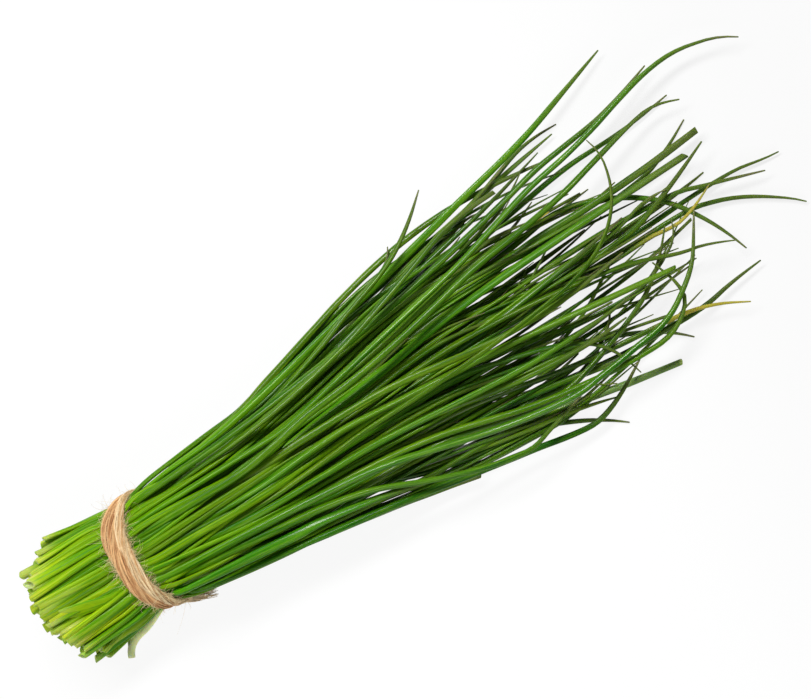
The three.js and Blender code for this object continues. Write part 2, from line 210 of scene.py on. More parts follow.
# ======== the leaves' middle lines
def smooth_line(points, values, count):
    """`count` points evenly along a smooth curve through `points`, with `values` carried along."""
    data = np.column_stack([points, values])
    ends = np.vstack([2 * data[0] - data[1], data, 2 * data[-1] - data[-2]])
    step = np.linspace(0, 1, CURVE_STEPS, endpoint=False)[:, None]
    pieces = []
    for p0, p1, p2, p3 in zip(ends, ends[1:], ends[2:], ends[3:]):
        pieces.append(0.5 * (2 * p1 + (p2 - p0) * step + (2 * p0 - 5 * p1 + 4 * p2 - p3) * step**2
                             + (3 * p1 - p0 - 3 * p2 + p3) * step**3))
    fine = np.vstack([*pieces, data[-1:]])
    length = travelled_along(fine[:, :3])
    at = np.linspace(0, length[-1], count)
    even = np.column_stack([np.interp(at, length, column) for column in fine.T])
    return even[:, :3], even[:, 3]


def travelled_along(line):
    """How far along a line each of its points lies."""
    return np.concatenate([[0], np.cumsum(lengths(np.diff(line, axis=0)))])


def filler_slots(taken, count):
    """Places in the tie for more leaves, each far from the others."""
    slots = list(taken)
    reach = np.array([TIE_HALF_WIDTH, TIE_HALF_HEIGHT]) - FILLER_RADIUS[1]
    for _ in range(count):
        tries = rng.uniform(-1, 1, (SLOT_TRIES, 2))
        tries = tries[(tries**2).sum(1) < 1] * reach
        apart = lengths(tries[:, None] - np.array(slots)[None]).min(1)
        slots.append(tries[(apart * (1 + MORE_ON_TOP * tries[:, 1] / reach[1])).argmax()])
    return np.array(slots[len(taken):])


def splayed(slot, x, flare):
    """Where a leaf passes x when the bunch is `flare` times as wide there as in the tie."""
    y = TIE_ASIDE + slot[0] * flare + SPLAY_SHIFT_Y * (flare - 1)
    return [x, y, slot[1] * flare - SPLAY_SINK * (flare - 1)]


def held_route(slot, opened):
    """The points of its route from its cut end through the tie."""
    across = slot[0] / TIE_HALF_WIDTH
    side = 1 if across > 0 else -1
    shorter, power = CUT_END_ROUNDED[side]
    cut_x = CUT_END_X + shorter * abs(across) ** power + rng.gamma(1.4) * CUT_END_UNEVEN
    flare = rng.uniform(*CUT_END_FLARE[side]) + LOOSE_FLARE * (rng.uniform() < LOOSE_CUT_ENDS)
    cut_end = splayed(slot, cut_x, flare)
    cut_end[1] += OPENED_SKEW if opened else rng.normal(0, FILLER_SKEW)
    waist = TIE_AHEAD + TIE_SKEW * slot[0] + TIE_LEAN * slot[1]
    beyond = ((HELD_STRAIGHT, 1), (BESIDE_TIE, BESIDE_TIE_FLARE))
    before = [splayed(slot, waist - x, flare) for x, flare in beyond[::-1]]
    return [cut_end, *before, *(splayed(slot, waist + x, flare) for x, flare in beyond)]


def fan_route(slot, radius):
    """The points from the shoulder to its tip, as it sinks into the pile."""
    across, up = slot / [TIE_HALF_WIDTH, TIE_HALF_HEIGHT]
    short = up < 0 and rng.uniform() < SHORT_FILLERS
    tip_x = rng.triangular(*(SHORT_TIP_X if short else FILLER_TIP_X)) - TIP_DRAWN_BACK * abs(across)
    veer = rng.normal(0, FILLER_VEER)
    sway = rng.normal(0, FILLER_SWAY)
    wave = rng.uniform(0, math.tau)
    curl = rng.choice([-1, 1]) * rng.uniform(*(CURL if rng.uniform() < CURLED_FILLERS else SLIGHT_CURL))
    curl_power = rng.uniform(*CURL_POWER)
    x = np.linspace(SHOULDER_X, tip_x, 9)
    beyond = (x - SHOULDER_X) / (tip_x - SHOULDER_X)
    low, high = np.interp(x, OUTLINE_X, OUTLINE_LOW), np.interp(x, OUTLINE_X, OUTLINE_HIGH)
    share = across + veer + sway * beyond**SWAY_POWER + WAVE[0] * np.sin(wave + WAVE[1] * beyond) * beyond
    share = np.clip(share, -MOST_ACROSS, MOST_ACROSS)
    if abs(share[-1]) > INNER_LEAF:
        curl = -abs(curl) * np.sign(share[-1])
    if curl * share[-1] > 0:
        room = (high - low)[-1] / 2 * (1 - abs(share[-1]))
        curl = np.clip(curl, -room, room)
    y = (low + high) / 2 + share * (high - low) / 2 + curl * beyond**curl_power
    top = np.interp(x, PILE_X, PILE_TOP) * (1 - PILE_ROUNDED * share**2)
    in_pile = radius + (up + 1) / 2 * (top - 2 * radius) - TIE_MIDDLE[2]
    settled = np.clip((x - HELD_STRAIGHT) / SETTLED_OVER, 0, 1)
    z = slot[1] * (1 - settled) + in_pile * settled
    return np.column_stack([x, y, z])


def filler_leaf(slot, opened):
    """A leaf that fans out from its place in the tie as the bunch does."""
    radius = rng.triangular(*FILLER_RADIUS)
    held = held_route(slot, opened)
    route = np.vstack([held, fan_route(slot, radius)]) + PLAN_ORIGIN
    line, _ = smooth_line(route, np.zeros(len(route)), STATIONS)
    blunt = rng.uniform() < BLUNT_FILLERS
    return line, tapered(line, radius, TIP_SHARE[blunt], FILLER_SLIMMER), blunt


def tapered(line, radius, tip_share, slimmer):
    """A leaf's radii: a little slimmer in the fan, and tapered shortly before the tip."""
    taper = 1 + (tip_share - 1) * np.linspace(0, 1, STATIONS) ** TAPER_POWER
    beyond = (line[:, 0] - PLAN_ORIGIN[0] - SHOULDER_X) / (SLIM_X - SHOULDER_X)
    return radius * taper * (1 - slimmer * np.clip(beyond, 0, 1))


# ======== pressing the leaves apart
def near_pairs(points, reach):
    """Index pairs of points closer than `reach`, each pair once, found through a grid."""
    cells = np.floor((points - points.min(0)) / reach).astype(np.int64) + 1
    size = cells.max(0) + 2
    strides = np.array([size[1] * size[2], size[2], 1])
    keys = cells @ strides
    order = np.argsort(keys, kind="stable")
    ordered = keys[order]
    found = []
    forward = [(1, y, z) for y in (-1, 0, 1) for z in (-1, 0, 1)] + [(0, 1, z) for z in (-1, 0, 1)]
    for shift in np.array([*forward, (0, 0, 1), (0, 0, 0)]):
        target = keys + shift @ strides
        start = np.searchsorted(ordered, target, "left")
        count = np.searchsorted(ordered, target, "right") - start
        first = np.repeat(np.arange(len(points)), count)
        within = np.arange(count.sum()) - np.repeat(np.cumsum(count) - count, count)
        second = order[np.repeat(start, count) + within]
        keep = lengths(points[first] - points[second]) < reach
        if not shift.any():
            keep &= first < second
        found.append(np.column_stack([first[keep], second[keep]]))
    return np.vstack(found)


def closest_shares(a0, a1, b0, b1):
    """How far along each of two stretches their closest points lie, from 0 to 1."""
    along_a, along_b, between = a1 - a0, b1 - b0, a0 - b0
    aa, bb, ab = (along_a**2).sum(1), (along_b**2).sum(1), (along_a * along_b).sum(1)
    ar, br = (along_a * between).sum(1), (along_b * between).sum(1)
    spread = aa * bb - ab**2
    share_a = np.where(spread > 1e-6 * aa * bb, (ab * br - ar * bb) / np.maximum(spread, 1e-9), 0.5)
    share_b = np.clip((ab * np.clip(share_a, 0, 1) + br) / bb, 0, 1)
    share_a = np.clip((ab * share_b - ar) / aa, 0, 1)
    return share_a, share_b


def push_apart(points, radii, mobility, a, b):
    """How far each point moves so that the stretches from `a` and those from `b` part."""
    share_a, share_b = closest_shares(points[a], points[a + 1], points[b], points[b + 1])
    at_a = points[a] + (points[a + 1] - points[a]) * share_a[:, None]
    at_b = points[b] + (points[b + 1] - points[b]) * share_b[:, None]
    between = at_a - at_b
    distance = np.maximum(lengths(between), 1e-6)
    wanted = (radii[a] * (1 - share_a) + radii[a + 1] * share_a
              + radii[b] * (1 - share_b) + radii[b + 1] * share_b)
    touching = distance < wanted
    push = between[touching] * ((wanted - distance) / distance)[touching][:, None]
    give_a, give_b = mobility[a[touching]], mobility[b[touching]]
    total = give_a + give_b
    shifts = np.zeros_like(points)
    weights = np.full(len(points), 1e-6)
    for point, share, give, sign in (
        (a, 1 - share_a, give_a, 1), (a + 1, share_a, give_a, 1),
        (b, 1 - share_b, give_b, -1), (b + 1, share_b, give_b, -1),
    ):
        which, weight = point[touching], share[touching]
        for axis in range(3):
            amount = sign * push[:, axis] * weight * give / total
            shifts[:, axis] += np.bincount(which, amount, len(points))
        weights += np.bincount(which, weight, len(points))
    return shifts * (CROWD / np.maximum(weights, CROWD))[:, None]


def stiffen(moved):
    """Evens out how far each leaf's points have moved."""
    for _ in range(STIFFNESS_PASSES):
        bend = moved[:, :-2] - 2 * moved[:, 1:-1] + moved[:, 2:]
        moved[:, 1:-1] += 0.25 * bend
        moved[:, 0] += 0.3 * (moved[:, 1] - moved[:, 0])
        moved[:, -1] += 0.3 * (moved[:, -2] - moved[:, -1])


def press_apart(lines, radii, mobility):
    """Moves the leaves until they hardly run into each other, the table or the tie."""
    leaves, stations, _ = lines.shape
    moved = np.zeros_like(lines)
    starts = (np.arange(leaves)[:, None] * stations + np.arange(stations - 1)).ravel()
    owner = np.repeat(np.arange(leaves), stations - 1)
    longest = lengths(np.diff(lines, axis=1)).max()
    reach = longest + 2 * radii.max() + SEARCH_MARGIN
    leaning = (lines[:, :, 1:] - TIE_MIDDLE[1:]) @ np.array([TIE_SKEW, TIE_LEAN])
    in_tie = np.abs(lines[:, :, 0] - TIE_MIDDLE[0] - leaning) < HELD_STRAIGHT + 1
    for turn in range(ROUNDS):
        points = (lines + moved).reshape(-1, 3)
        if turn % ROUNDS_PER_SEARCH == 0:
            pairs = near_pairs((points[starts] + points[starts + 1]) / 2, reach)
            pairs = pairs[owner[pairs[:, 0]] != owner[pairs[:, 1]]]
            a, b = starts[pairs[:, 0]], starts[pairs[:, 1]]
        moved += push_apart(points, radii.ravel(), mobility.ravel(), a, b).reshape(lines.shape)
        moved[:, :, 2] -= SETTLE * mobility
        stiffen(moved)
        now = lines + moved
        hold_in_tie(now, radii, in_tie)
        now[:, :, 2] = np.maximum(now[:, :, 2], radii + TABLE_GAP)
        moved = now - lines
    return lines + moved


def hold_in_tie(lines, radii, in_tie):
    """Keeps the held stretches of the leaves inside the tie's oval."""
    offset = lines[:, :, 1:] - TIE_MIDDLE[1:]
    room = np.stack([TIE_HALF_WIDTH + TIE_SLACK - radii, TIE_HALF_HEIGHT + TIE_SLACK - radii], axis=2)
    out = lengths(offset / room)
    scale = np.where(in_tie & (out > 1), 1 / np.maximum(out, 1e-6), 1)
    lines[:, :, 1:] = TIE_MIDDLE[1:] + offset * scale[:, :, None]


# ======== meshes
def placed(name, data):
    """A new object in the scene."""
    obj = bpy.data.objects.new(name, data)
    bpy.context.scene.collection.objects.link(obj)
    return obj


def mesh_object(name, corners, faces, attributes, material):
    """A smooth object from corners in millimetres, with attributes at the corners."""
    mesh = bpy.data.meshes.new(name)
    mesh.from_pydata((corners * MM).tolist(), [], faces)
    mesh.polygons.foreach_set("use_smooth", [True] * len(faces))
    for attribute, values in attributes:
        values = np.asarray(values, np.float32)
        kind, key = ("FLOAT_VECTOR", "vector") if values.ndim == 2 else ("FLOAT", "value")
        mesh.attributes.new(attribute, kind, "POINT").data.foreach_set(key, values.ravel())
    mesh.materials.append(material)
    return placed(name, mesh)


def tube_faces(count, stations, sides, closed):
    """The faces of `count` tubes, closed into rings or filled at both ends."""
    base = np.arange(count)[:, None, None] * stations * sides
    station = np.arange(stations if closed else stations - 1)
    ring = (station * sides)[None, :, None]
    next_ring = ((station + 1) % stations * sides)[None, :, None]
    a = np.arange(sides)[None, None, :]
    b = (a + 1) % sides
    quads = np.stack([base + ring + a, base + ring + b, base + next_ring + b, base + next_ring + a], axis=3)
    faces = quads.reshape(-1, 4).tolist()
    if not closed:
        faces += (base[:, :, 0] + a[0, :, ::-1]).tolist()
        faces += (base[:, :, 0] + (stations - 1) * sides + a[0]).tolist()
    return faces


def ring_frames(line):
    """Directions along and across a line at each point, without twisting."""
    tangents = unit(np.gradient(line, axis=0))
    sides = np.empty_like(line)
    side = np.cross([0, 0, 1.0], tangents[0])
    for i, tangent in enumerate(tangents):
        side = side - tangent * (side @ tangent)
        side /= np.linalg.norm(side)
        sides[i] = side
    return tangents, sides, np.cross(tangents, sides)


# ======== a leaf
AROUND_LEAF = math.tau * np.arange(SIDES) / SIDES
PRESSED_FLAT = (0.5, 0.85)  # thickness of a leaf in the tie as a share of its width
FREE_FLAT = (0.72, 0.95)  # and where it has spread
PRESSED_LENGTH = 80.0
TURNED = (0.35, 1.0)  # radians that its oval is turned at random, in the tie and more beyond it
SWELLS = ((0.03, 0.11), (0.02, 0.37))  # waves in its width: their size, and radians for each mm
BASE_SWELL = 0.5  # how much thicker it can be towards its cut end
BASE_LENGTH = 34.0
FACETS = ((3, 0.05), (4, 0.03), (5, 0.03))  # waves round its oval: how many, and their size
FACETS_WIND = 3  # radians that they wind round it up to its tip

WALL = 0.32
CUT_SLANT = 0.35  # how far the cut end is off square
HOLLOW_DEPTH = 7.0
HOLLOW_BOTTOM = 0.9  # its width there, as a share of its mouth's
RIM_DEPTHS = (1.0, 0.12, -0.02, 0.05)  # of the rings over the rim: two inside, one on top, one outside
RIM_OUTSIDE = 0.985  # width of the last one
CLIPPED_SLANT = 0.3
CLIPPED_DEPTH = 1.2
TIP_WIDTH = 0.5  # of a whole tip's last ring
TIP_AHEAD = 0.8

PAINTED_SHADE_BELOW = 1.7  # painted shade: how much deeper green the lowest fillers are painted than the top ones
CAD_SHADE_DEPTH = 0.4  # the CAD leaves get the painted shade of leaves lying this deep, from 0 to 1
STRAW = (0.46, 0.38, 0.05)
TINTED_TIPS = {  # how much, from where along the leaf, and the colour
    "leaf_38": (0.8, 0.86, STRAW),
    "thin_leaf_24": (0.8, 0.87, STRAW),
    "thin_leaf_43": (0.95, 0.94, STRAW),
    "flower_stalk_06": (0.85, 0.8, (0.17, 0.28, 0.08)),
    "flower_stalk_54": (0.65, 0.4, (0.13, 0.28, 0.01)),
}
TINT_OVER = 0.05
DRYNESS = (0.35, 0.5)  # of whole tips: its mean and spread
PALE_BASES = {"clipped_leaf_28": 24.0}  # how far from its cut end a leaf is pale
PALE_LENGTH = (1.5, 3.0)  # shape and scale of that length for the others
PALENESS = (0.1, 0.75)
# a leaf listed there is pale of its own, and painted paler still as painted light for the shade it lies in
PALEST_AND_LIT = 2.0
GRAIN_STRETCH = 0.02
GRAIN_APART = 50

UV_STRIPS = 6
UV_INSETS = (0.01, 0.06)  # left free at the ends of a strip, and beside it
UV_OF_CAPS = 0.002


def leaf_oval(draw, line, radii, length):
    """How far a leaf's oval is turned at each station, and half its width and thickness."""
    held = np.abs(line[:, 0] - TIE_MIDDLE[0]).argmin()
    outwards = math.atan2(*(line[held, 1:] - TIE_MIDDLE[1:])[::-1])
    pressed_round = math.remainder(outwards - math.pi / 2, math.pi)
    freed = np.clip((line[:, 0] - TIE_MIDDLE[0]) / PRESSED_LENGTH, 0, 1)
    turn = pressed_round * (1 - freed) + draw.normal(0, TURNED[0]) + draw.normal(0, TURNED[1]) * freed
    flat = draw.uniform(*PRESSED_FLAT) * (1 - freed) + draw.uniform(*FREE_FLAT) * freed
    swell = 1
    for (size, per_mm), start in zip(SWELLS, (draw.uniform(0, 6), 0)):
        swell = swell + size * np.sin(length * per_mm + start)
    swell *= 1 + draw.uniform(0, BASE_SWELL) * np.clip(1 - length / BASE_LENGTH, 0, 1)
    return turn, radii * swell / np.sqrt(flat), radii * swell * np.sqrt(flat)


def leaf_piece(name, line, radii, material, blunt, tint, pale, shade_depth, opened):
    """A hollow leaf: its skin, the open cut end with the wall's thickness, and the tip."""
    draw = np.random.default_rng(1000 + int(name.rsplit("_", 1)[1]))
    tangents, sides, ups = ring_frames(line)
    length = travelled_along(line)
    turn, wide, narrow = leaf_oval(draw, line, radii, length)
    if opened:
        lens = np.clip(1 - ((length - OPENED_AT) / OPENED_REACH) ** 2, 0, 1)
        wide, narrow = wide * (1 + OPENED_WIDE * lens), narrow * (1 - OPENED_THIN * lens)
        line = line + np.outer(OPENED_RISE * lens, [0, 0, 1])
    starts, winds = draw.uniform(0, math.tau, len(FACETS)), draw.normal(0, 1, len(FACETS))
    wound = starts + winds * (length / length[-1])[:, None] * FACETS_WIND
    facets = 1 + sum(size * np.cos(count * AROUND_LEAF + wound[:, [i]])
                     for i, (count, size) in enumerate(FACETS))
    slants = np.zeros((len(line), 2))
    slants[0] = draw.normal(0, CUT_SLANT, 2)

    def ring_at(i, share, ahead=0.0):
        """The section at a station, at a share of its width, moved ahead along the leaf."""
        around = AROUND_LEAF - turn[i]
        a = wide[i] * share * facets[i] * np.cos(around)
        b = narrow[i] * share * facets[i] * np.sin(around)
        x = a * np.cos(turn[i]) - b * np.sin(turn[i])
        y = a * np.sin(turn[i]) + b * np.cos(turn[i])
        along = ahead + slants[i, 0] * x + slants[i, 1] * y
        return line[i] + np.outer(x, sides[i]) + np.outer(y, ups[i]) + np.outer(along, tangents[i])

    hollow = 1 - WALL / radii[0]
    inner_depth, lip_depth, top_depth, outer_depth = RIM_DEPTHS
    inside = [ring_at(0, hollow * HOLLOW_BOTTOM, HOLLOW_DEPTH), ring_at(0, hollow, inner_depth),
              ring_at(0, hollow, lip_depth), ring_at(0, (1 + hollow) / 2, top_depth)]
    skin = [ring_at(0, RIM_OUTSIDE, outer_depth), *(ring_at(i, 1) for i in range(1, len(line)))]
    if blunt:
        slants[-1] = draw.normal(0, CLIPPED_SLANT, 2)
        wall = WALL / radii[-1]
        skin[-1] = ring_at(-1, 1)
        end = [ring_at(-1, 1 - wall), ring_at(-1, HOLLOW_BOTTOM - wall, -CLIPPED_DEPTH)]
    else:
        end = [ring_at(-1, TIP_WIDTH, radii[-1] * TIP_AHEAD)]
    rings = np.array([*inside, *skin, *end])
    rings[..., 2] = np.maximum(rings[..., 2], OFF_TABLE)
    travelled = np.concatenate([np.zeros(len(inside)), length, np.full(len(end), length[-1])])
    inner = np.concatenate([np.ones(len(inside)), np.zeros(len(skin)), np.full(len(end), float(blunt))])
    attributes = leaf_attributes(draw, travelled, inner, blunt, tint, pale, shade_depth)
    faces = tube_faces(1, len(rings), SIDES, False)
    piece = mesh_object(name, rings.reshape(-1, 3), faces, attributes, material)
    fold_uv(piece.data, len(rings))
    return piece


def leaf_attributes(draw, travelled, inner, blunt, tint, pale, shade_depth):
    """What the material reads, from how far along the leaf each ring is."""
    corners = len(travelled) * SIDES
    along = travelled / travelled[-1]
    amount, tint_from, colour = tint
    round_leaf = np.column_stack([np.cos(AROUND_LEAF), np.sin(AROUND_LEAF)])
    grain = np.column_stack([np.tile(round_leaf, (len(travelled), 1)),
                             np.repeat(travelled * GRAIN_STRETCH, SIDES)])
    dry = max(0, draw.normal(*DRYNESS)) * (not blunt)
    return (
        ("along", np.repeat(along, SIDES)),
        ("from_cut", np.repeat(travelled, SIDES)),
        ("grain", grain + [0, 0, draw.uniform(0, GRAIN_APART)]),
        ("inner", np.repeat(inner, SIDES)),
        # a leaf's own tone at random, plus painted shade that deepens the leaves lying lower in the pile
        ("tone", np.full(corners, draw.normal(0, 1) + PAINTED_SHADE_BELOW * (shade_depth - 0.5))),
        ("pale", np.full(corners, pale if pale else draw.gamma(*PALE_LENGTH))),
        ("paleness", np.full(corners, PALEST_AND_LIT if pale else draw.uniform(*PALENESS))),
        ("hue", np.full(corners, draw.uniform(-1, 1))),
        ("dry", np.full(corners, dry)),
        ("tinted", np.repeat(amount * np.clip((along - tint_from) / TINT_OVER, 0, 1), SIDES)),
        ("tint", np.tile(colour, (corners, 1))),
    )


def fold_uv(mesh, count):
    """Lays a leaf's skin out as strips side by side, so that it fills a square picture."""
    per_strip = math.ceil((count - 1) / UV_STRIPS)
    ring, side = np.divmod(np.arange((count - 1) * SIDES), SIDES)
    strip, along = np.divmod(ring, per_strip)
    u = np.stack([along, along, along + 1, along + 1], axis=1) / per_strip
    v = np.stack([side, side + 1, side + 1, side], axis=1) / SIDES
    ends, beside = UV_INSETS
    v = (strip[:, None] + beside + (1 - 2 * beside) * v) / UV_STRIPS
    skin = np.stack([ends + (1 - 2 * ends) * u, v], axis=2).reshape(-1, 2)
    caps = np.full((2 * SIDES, 2), UV_OF_CAPS)
    layer = mesh.uv_layers.new(name="OFBake")
    layer.data.foreach_set("uv", np.vstack([skin, caps]).astype(np.float32).ravel())


# ======== materials
class Nodes:
    """The nodes of a material or of the world, with short ways to add one."""

    def __init__(self, owner, shader="Principled BSDF"):
        owner.use_nodes = True
        self.owner = owner
        self.tree = owner.node_tree
        self.shader = self.tree.nodes[shader]

    def look(self, inputs):
        """Sets inputs of the owner's own shader."""
        for key, value in inputs.items():
            self.set(self.shader.inputs[key], value)

    def add(self, kind, inputs=None, **settings):
        node = self.tree.nodes.new("ShaderNode" + kind)
        for key, value in settings.items():
            setattr(node, key, value)
        for key, value in (inputs or {}).items():
            self.set(node.inputs[key], value)
        return node

    def set(self, socket, value):
        if isinstance(value, bpy.types.NodeSocket):
            self.tree.links.new(value, socket)
        else:
            socket.default_value = value

    def attribute(self, name, output="Fac"):
        return self.add("Attribute", attribute_name=name).outputs[output]

    def math(self, operation, a, b=0.0, clamp=False):
        return self.add("Math", {0: a, 1: b}, operation=operation, use_clamp=clamp).outputs[0]

    def times(self, a, b):
        return self.math("MULTIPLY", a, b)

    def range(self, value, low, high, to_low=0.0, to_high=1.0, smooth=False):
        kind = "SMOOTHSTEP" if smooth else "LINEAR"
        inputs = {"Value": value, "From Min": low, "From Max": high, "To Min": to_low, "To Max": to_high}
        return self.add("MapRange", inputs, interpolation_type=kind).outputs[0]

    def noise(self, vector, scale, detail=2.0, roughness=0.5):
        inputs = {"Vector": vector, "Scale": scale, "Detail": detail, "Roughness": roughness}
        return self.add("TexNoise", inputs).outputs["Fac"]

    def mix(self, share, a, b, blend="MIX"):
        node = self.add("Mix", data_type="RGBA", blend_type=blend)
        for index, value in ((0, share), (6, a), (7, b)):
            self.set(node.inputs[index], value)
        return node.outputs[2]

    def ramp(self, value, stops):
        node = self.add("ValToRGB", {"Fac": value})
        elements = node.color_ramp.elements
        for element, (place, colour) in zip([elements[0], elements[1]], (stops[0], stops[-1])):
            element.position, element.color = place, (*colour, 1)
        for place, colour in stops[1:-1]:
            elements.new(place).color = (*colour, 1)
        return node.outputs["Color"]


RIPENS_OVER = 300.0  # from the cut end to the last of a leaf's colours
LEAF_STOPS = [
    (0.0, (0.38, 0.43, 0.02)),
    (0.02, (0.255, 0.375, 0.002)),
    (0.055, (0.150, 0.285, 0.0)),
    (0.11, (0.100, 0.225, 0.0)),
    (0.2, (0.067, 0.174, 0.0)),
    (0.38, (0.085, 0.192, 0.004)),
    (0.6, (0.048, 0.143, 0.002)),
    (1.0, (0.047, 0.122, 0.006)),
]
STALK_STOPS = [
    (0.0, (0.44, 0.56, 0.03)),
    (0.06, (0.22, 0.42, 0.004)),
    (0.2, (0.11, 0.28, 0.004)),
    (0.6, (0.065, 0.18, 0.008)),
    (1.0, (0.06, 0.15, 0.015)),
]
DEEP_TONE_AND_SHADE = (0.18, 0.58, 0.2, 1)  # what a deep leaf's green is multiplied by: its own deeper tone, and painted shade for leaves low in the pile
DARK_STREAK = (0.22, 0.55, 0.2, 1)  # and what a streak's is
LIME_STREAK = (0.28, 0.46, 0.02, 1)
BRIGHT_PATCH = (0.19, 0.31, 0.004, 1)
PALE_BASE = (0.56, 0.62, 0.16, 1)
# a pale leaf's own colour, made paler as painted light where it lies in the bunch's shade
PALE_AND_LIT_BASE = (0.90, 1.0, 0.50, 1)
DULL_TIP = (0.11, 0.135, 0.032, 1)
DRIED_POINT = (0.16, 0.15, 0.07, 1)
FLESH = (0.40, 0.50, 0.14, 1), (0.56, 0.64, 0.28, 1)


def leaf_material(name, stops):
    """Waxy leaf skin: lime at the cut and deep green to the tip, with fine streaks and a dried point."""
    n = Nodes(bpy.data.materials.new(name))
    tone = n.attribute("tone")
    from_cut = n.attribute("from_cut")
    along = n.attribute("along")
    grain = n.attribute("grain", "Vector")
    streaks = n.noise(grain, 1.9, 3.0, 0.65)
    fine = n.noise(grain, 4.5, 2.0)
    patches = n.noise(grain, 0.9, 1.0)

    # the green, its streaks and patches, the leaf's own tone, and painted shade that deepens the leaves lower
    # in the pile
    pace = n.range(tone, -2, 2, 0.62, 1.38)
    green = n.ramp(n.times(pace, n.math("DIVIDE", from_cut, RIPENS_OVER)), stops)
    for where, low, high, most, colour, blend in (
        (tone, -1.4, 2.2, 1, DEEP_TONE_AND_SHADE, "MULTIPLY"),
        (streaks, 0.45, 0.62, 0.85, DARK_STREAK, "MULTIPLY"),
        (fine, 0.5, 0.7, 0.28, LIME_STREAK, "MIX"),
        (patches, 0.45, 0.75, 0.25, BRIGHT_PATCH, "MIX"),
    ):
        green = n.mix(n.range(where, low, high, 0, most), green, colour, blend)
    hue = n.range(n.attribute("hue"), -1, 1, 0.488, 0.514)
    # a low tone brightens the green: partly the leaf's own tone, partly painted light on the leaves on top of
    # the pile
    tone_and_shade_value = n.range(tone, -2.5, 0, 1.5, 1.1)
    green = n.add("HueSaturation", {"Color": green, "Hue": hue, "Value": tone_and_shade_value}).outputs[0]

    # the pale base, the duller tip, its own tint, the dried point and the flesh inside
    paled = n.range(n.math("SUBTRACT", from_cut, n.attribute("pale")), -5, 3, 1, 0, True)
    paleness = n.attribute("paleness")
    green = n.mix(n.times(paled, n.math("MINIMUM", paleness, 0.95)), green, PALE_BASE)
    # the palest leaf: its own paleness, plus painted light for the shade it lies in
    green = n.mix(n.times(paled, n.range(paleness, 1, PALEST_AND_LIT)), green, PALE_AND_LIT_BASE)
    green = n.mix(n.range(along, 0.82, 0.98, 0, 0.7, True), green, DULL_TIP)
    green = n.mix(n.attribute("tinted"), green, n.attribute("tint", "Vector"))
    dry_from = n.range(n.attribute("dry"), 0, 1.5, 1.0, 0.93)
    dried = n.range(n.math("SUBTRACT", along, dry_from), -0.012, 0.03, 0, 1, True)
    green = n.mix(n.times(dried, 0.75), green, DRIED_POINT)
    flesh = n.mix(n.range(fine, 0.3, 0.7), *FLESH)

    # the wax, most of it in the fan
    waxy = n.range(from_cut, 45, 140, 0.15, 1.0, True)
    for share in (n.range(along, 0.78, 0.92, 1, 0.15, True), n.range(paleness, 0.1, 0.75, 0.3),
                  n.range(patches, 0.4, 0.6, 0.45)):
        waxy = n.times(waxy, share)
    height = n.math("ADD", n.times(streaks, 0.7), n.times(fine, 0.3))
    bump = n.add("Bump", {"Height": height, "Strength": 0.6, "Distance": 0.1 * MM})
    n.look({
        "Base Color": n.mix(n.attribute("inner"), green, flesh),
        "Roughness": n.range(streaks, 0.3, 0.7, 0.36, 0.5),
        "Coat Weight": waxy,
        "Coat Roughness": 0.17,
        "IOR": 1.45,
        "Specular IOR Level": 0.06,
        "Subsurface Weight": 0.4,
        "Subsurface Radius": (0.6, 1.0, 0.05),
        "Subsurface Scale": 1.4 * MM,
        "Normal": bump.outputs[0],
    })
    return n.owner


JUTE = {  # the lightest and the darkest fibres; the rear turn's pair is painted shade and the front turn's pair painted light, on one and the same jute
    "shaded_rear": ((0.92, 0.62, 0.31, 1), (0.42, 0.18, 0.06, 1)),
    "lit_front": ((1.0, 0.85, 0.55, 1), (0.52, 0.27, 0.095, 1)),
    # the knot's and the ends' jute is painted paler, as painted light where the bunch shades them
    "ends": ((1.0, 0.86, 0.62, 1), (0.74, 0.54, 0.30, 1)),
    # the plies' cores, painted dark as the shade seen between the fibres
    "shaded_core": ((0.30, 0.14, 0.05, 1), (0.18, 0.075, 0.025, 1)),
    "hair": ((0.95, 0.85, 0.52, 1), (0.66, 0.44, 0.20, 1)),
}
BROWNED = (0.34, 0.16, 0.055, 1)


def twine_material(name, light, dark):
    """Dry jute: each fibre has its own shade, with paler and browner stretches."""
    n = Nodes(bpy.data.materials.new(name))
    run = n.attribute("run", "Vector")
    stretches = n.range(n.noise(run, 0.5, 2.0), 0.25, 0.75, -0.3, 0.35)
    fine = n.noise(run, 4.0, 2.0, 0.6)
    share = n.math("ADD", n.times(n.attribute("tone"), 0.9), stretches, clamp=True)
    colour = n.mix(n.range(fine, 0.45, 0.75, 0, 0.35), n.mix(share, dark, light), BROWNED)
    bump = n.add("Bump", {"Height": fine, "Strength": 0.5, "Distance": 0.05 * MM})
    n.look({
        "Base Color": colour,
        "Roughness": 0.72,
        "Specular IOR Level": 0.35,
        "Normal": bump.outputs[0],
    })
    return n.owner


# ======== the twine
STRAND_PITCH = 3.5  # from one turn to the other on top of the bunch
STRANDS_DRAWN_IN = 0.6  # share of it that is left at the sides and below
REAR_BULGE = 2.0  # how much wider the turn nearer the cut ends is at its loosest
REAR_BULGE_ANGLE = 0.22 * math.pi  # from the +Y side over the top
TWINE_OUT = 1.0  # from the leaves to the middle of the twine
TWINE_SWAY = 0.1
PLIES = 3
PLY_TURNS = 2  # how often they wind round each other
PLY_SPREAD = (1.2, 0.32)  # from a turn's middle to a ply's, along the bunch and outwards
PLY_WIDTH = (0.78, 0.22)  # at the sides, and how much wider on top
PLY_HALF_WIDE = 0.82
PLY_HALF_THICK = 0.52
CORE_RADIUS = 0.5
CORE_SIDES = 10
FIBRES_PER_PLY = 22
FIBRE_TURNS = 3
FIBRE_RADIUS = (0.09, 0.21)
FIBRE_STRAYS = (0.14, 0.07)  # round its ply and outwards
FIBRE_TONES = (0.34, 0.22)  # a slow change round a ply, and each fibre's own
FIBRE_SIDES = 4
RING_STATIONS = 120
RUNS_APART = 3.7  # from one fibre's shades to the next one's

